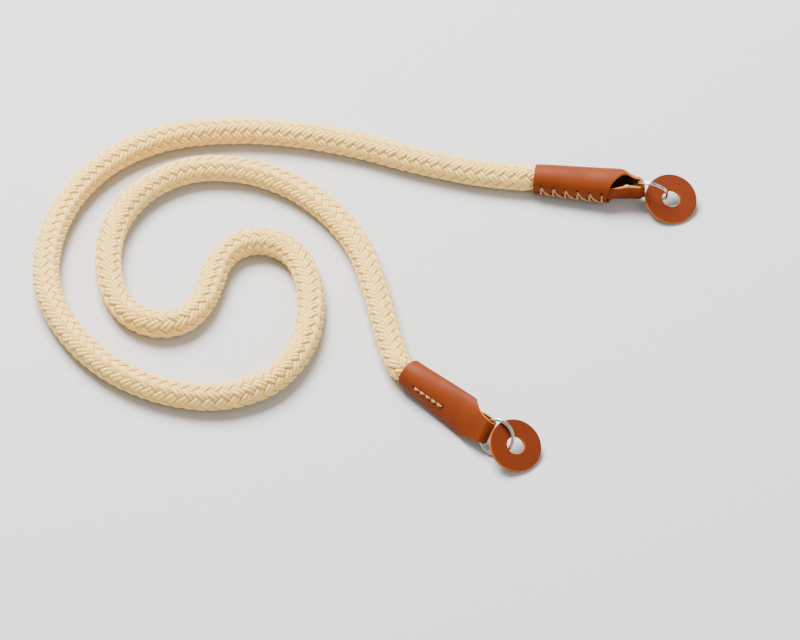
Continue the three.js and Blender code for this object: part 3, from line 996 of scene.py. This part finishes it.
class STRAP_OT_stage(bpy.types.Operator):
    """Make the floor, the lights and the camera"""

    bl_idname = "neck_strap.stage"
    bl_label = "Set the Stage"

    def execute(self, context):
        stage = context.scene.neck_strap.stage
        corners = FLOOR_HALF * np.array([[-1, -1, 0], [1, -1, 0], [1, 1, 0], [-1, 1, 0]])
        make_piece("studio_floor", corners, [np.array([[0, 1, 2, 3]])], floor_material(stage))

        camera = bpy.data.cameras.new("photo_camera")
        camera.lens = stage.lens
        camera.sensor_width = SENSOR_WIDTH
        camera.clip_end = VIEW_END
        eye = bpy.data.objects.new("photo_camera", camera)
        eye.location = (
            TARGET[0], TARGET[1] - stage.distance * math.cos(stage.elevation),
            stage.distance * math.sin(stage.elevation))
        eye.rotation_euler = (math.pi / 2 - stage.elevation, 0, 0)
        context.scene.collection.objects.link(eye)
        context.scene.camera = eye

        add_light("key_light", **KEY_LIGHT, power=stage.key_power)
        add_light("fill_light", **FILL_LIGHT, power=stage.fill_power)
        world = bpy.data.worlds.new("studio")
        world.use_nodes = True
        background = world.node_tree.nodes["Background"]
        background.inputs["Color"].default_value = (1, 1, 1, 1)
        background.inputs["Strength"].default_value = stage.surround
        context.scene.world = world
        return {"FINISHED"}


class STRAP_OT_rope(bpy.types.Operator):
    """Lay the rope: its core and the yarns that are braided round it"""

    bl_idname = "neck_strap.rope"
    bl_label = "Lay the Rope"

    def execute(self, context):
        rope = context.scene.neck_strap.rope
        core, line, length = make_core(rope, core_material(rope))
        on_body(core, "rope_cotton", "rope")
        cotton = cotton_material(rope)
        strands = [make_strands(rope, sense, half, cotton) for sense in (1, -1) for half in (0, 1)]
        for piece in strands:
            on_body(piece, "rope_cotton")
        return {"FINISHED"}


class STRAP_OT_sleeves(bpy.types.Operator):
    """Wrap a leather sleeve round each end of the rope"""

    bl_idname = "neck_strap.sleeves"
    bl_label = "Wrap the Sleeves"

    def execute(self, context):
        settings = context.scene.neck_strap
        material = leather_material("tan_sleeve_leather", settings.leather, settings.leather.colour)
        for side, end in ENDS.items():
            piece = make_sleeve(f"sleeve_leather_{side}", end, settings.leather, settings.stitch, material)
            on_body(piece, "tan_leather", f"sleeve_{side}")
        return {"FINISHED"}


class STRAP_OT_stitches(bpy.types.Operator):
    """Sew the stitch row and lace the seam of each sleeve"""

    bl_idname = "neck_strap.stitches"
    bl_label = "Sew the Stitches"

    def execute(self, context):
        settings = context.scene.neck_strap
        material = thread_material(settings.stitch)
        for side, end in ENDS.items():
            piece = make_stitches(f"stitches_{side}", end, settings.leather, settings.stitch, material)
            on_body(piece, "rope_cotton")
        return {"FINISHED"}


class STRAP_OT_rings(bpy.types.Operator):
    """Wind the two split rings"""

    bl_idname = "neck_strap.rings"
    bl_label = "Wind the Rings"

    def execute(self, context):
        ring = context.scene.neck_strap.ring
        material = nickel_material(ring)
        for side, end in ENDS.items():
            on_body(make_ring(f"ring_wire_{side}", end, ring, material), "ring_nickel", f"split_ring_{side}")
        return {"FINISHED"}


class STRAP_OT_discs(bpy.types.Operator):
    """Cut the two bumper discs"""

    bl_idname = "neck_strap.discs"
    bl_label = "Cut the Discs"

    def execute(self, context):
        settings = context.scene.neck_strap
        material = leather_material("tan_disc_leather", settings.leather, settings.leather.disc)
        for side, end in ENDS.items():
            piece = make_disc(f"disc_leather_{side}", end, settings.disc, settings.leather, material)
            on_body(piece, "tan_leather", f"bumper_disc_{side}")
        return {"FINISHED"}


OPERATORS = (
    STRAP_OT_stage, STRAP_OT_rope, STRAP_OT_sleeves, STRAP_OT_stitches, STRAP_OT_rings, STRAP_OT_discs)


class STRAP_PT_panel(bpy.types.Panel):
    """The strap's settings and operators"""

    bl_idname = "STRAP_PT_panel"
    bl_label = "Camera Neck Strap"
    bl_space_type = "VIEW_3D"
    bl_region_type = "UI"
    bl_category = "Strap"

    def draw(self, context):
        settings = context.scene.neck_strap
        for operator in OPERATORS:
            self.layout.operator(operator.bl_idname)
        for part in StrapSettings.__annotations__:
            group = getattr(settings, part)
            box = self.layout.box()
            for field in type(group).__annotations__:
                box.prop(group, field)


CLASSES = (
    RopeSettings, LeatherSettings, StitchSettings, RingSettings, DiscSettings, StageSettings, StrapSettings,
    *OPERATORS, STRAP_PT_panel)


def register():
    for cls in CLASSES:
        bpy.utils.register_class(cls)
    bpy.types.Scene.neck_strap = PointerProperty(type=StrapSettings)


def unregister():
    del bpy.types.Scene.neck_strap
    for cls in reversed(CLASSES):
        bpy.utils.unregister_class(cls)


def main():
    """Builds the stage and every piece."""
    register()
    bpy.ops.neck_strap.stage()
    bpy.ops.neck_strap.rope()
    bpy.ops.neck_strap.sleeves()
    bpy.ops.neck_strap.stitches()
    bpy.ops.neck_strap.rings()
    bpy.ops.neck_strap.discs()


if __name__ == "__main__":
    main()
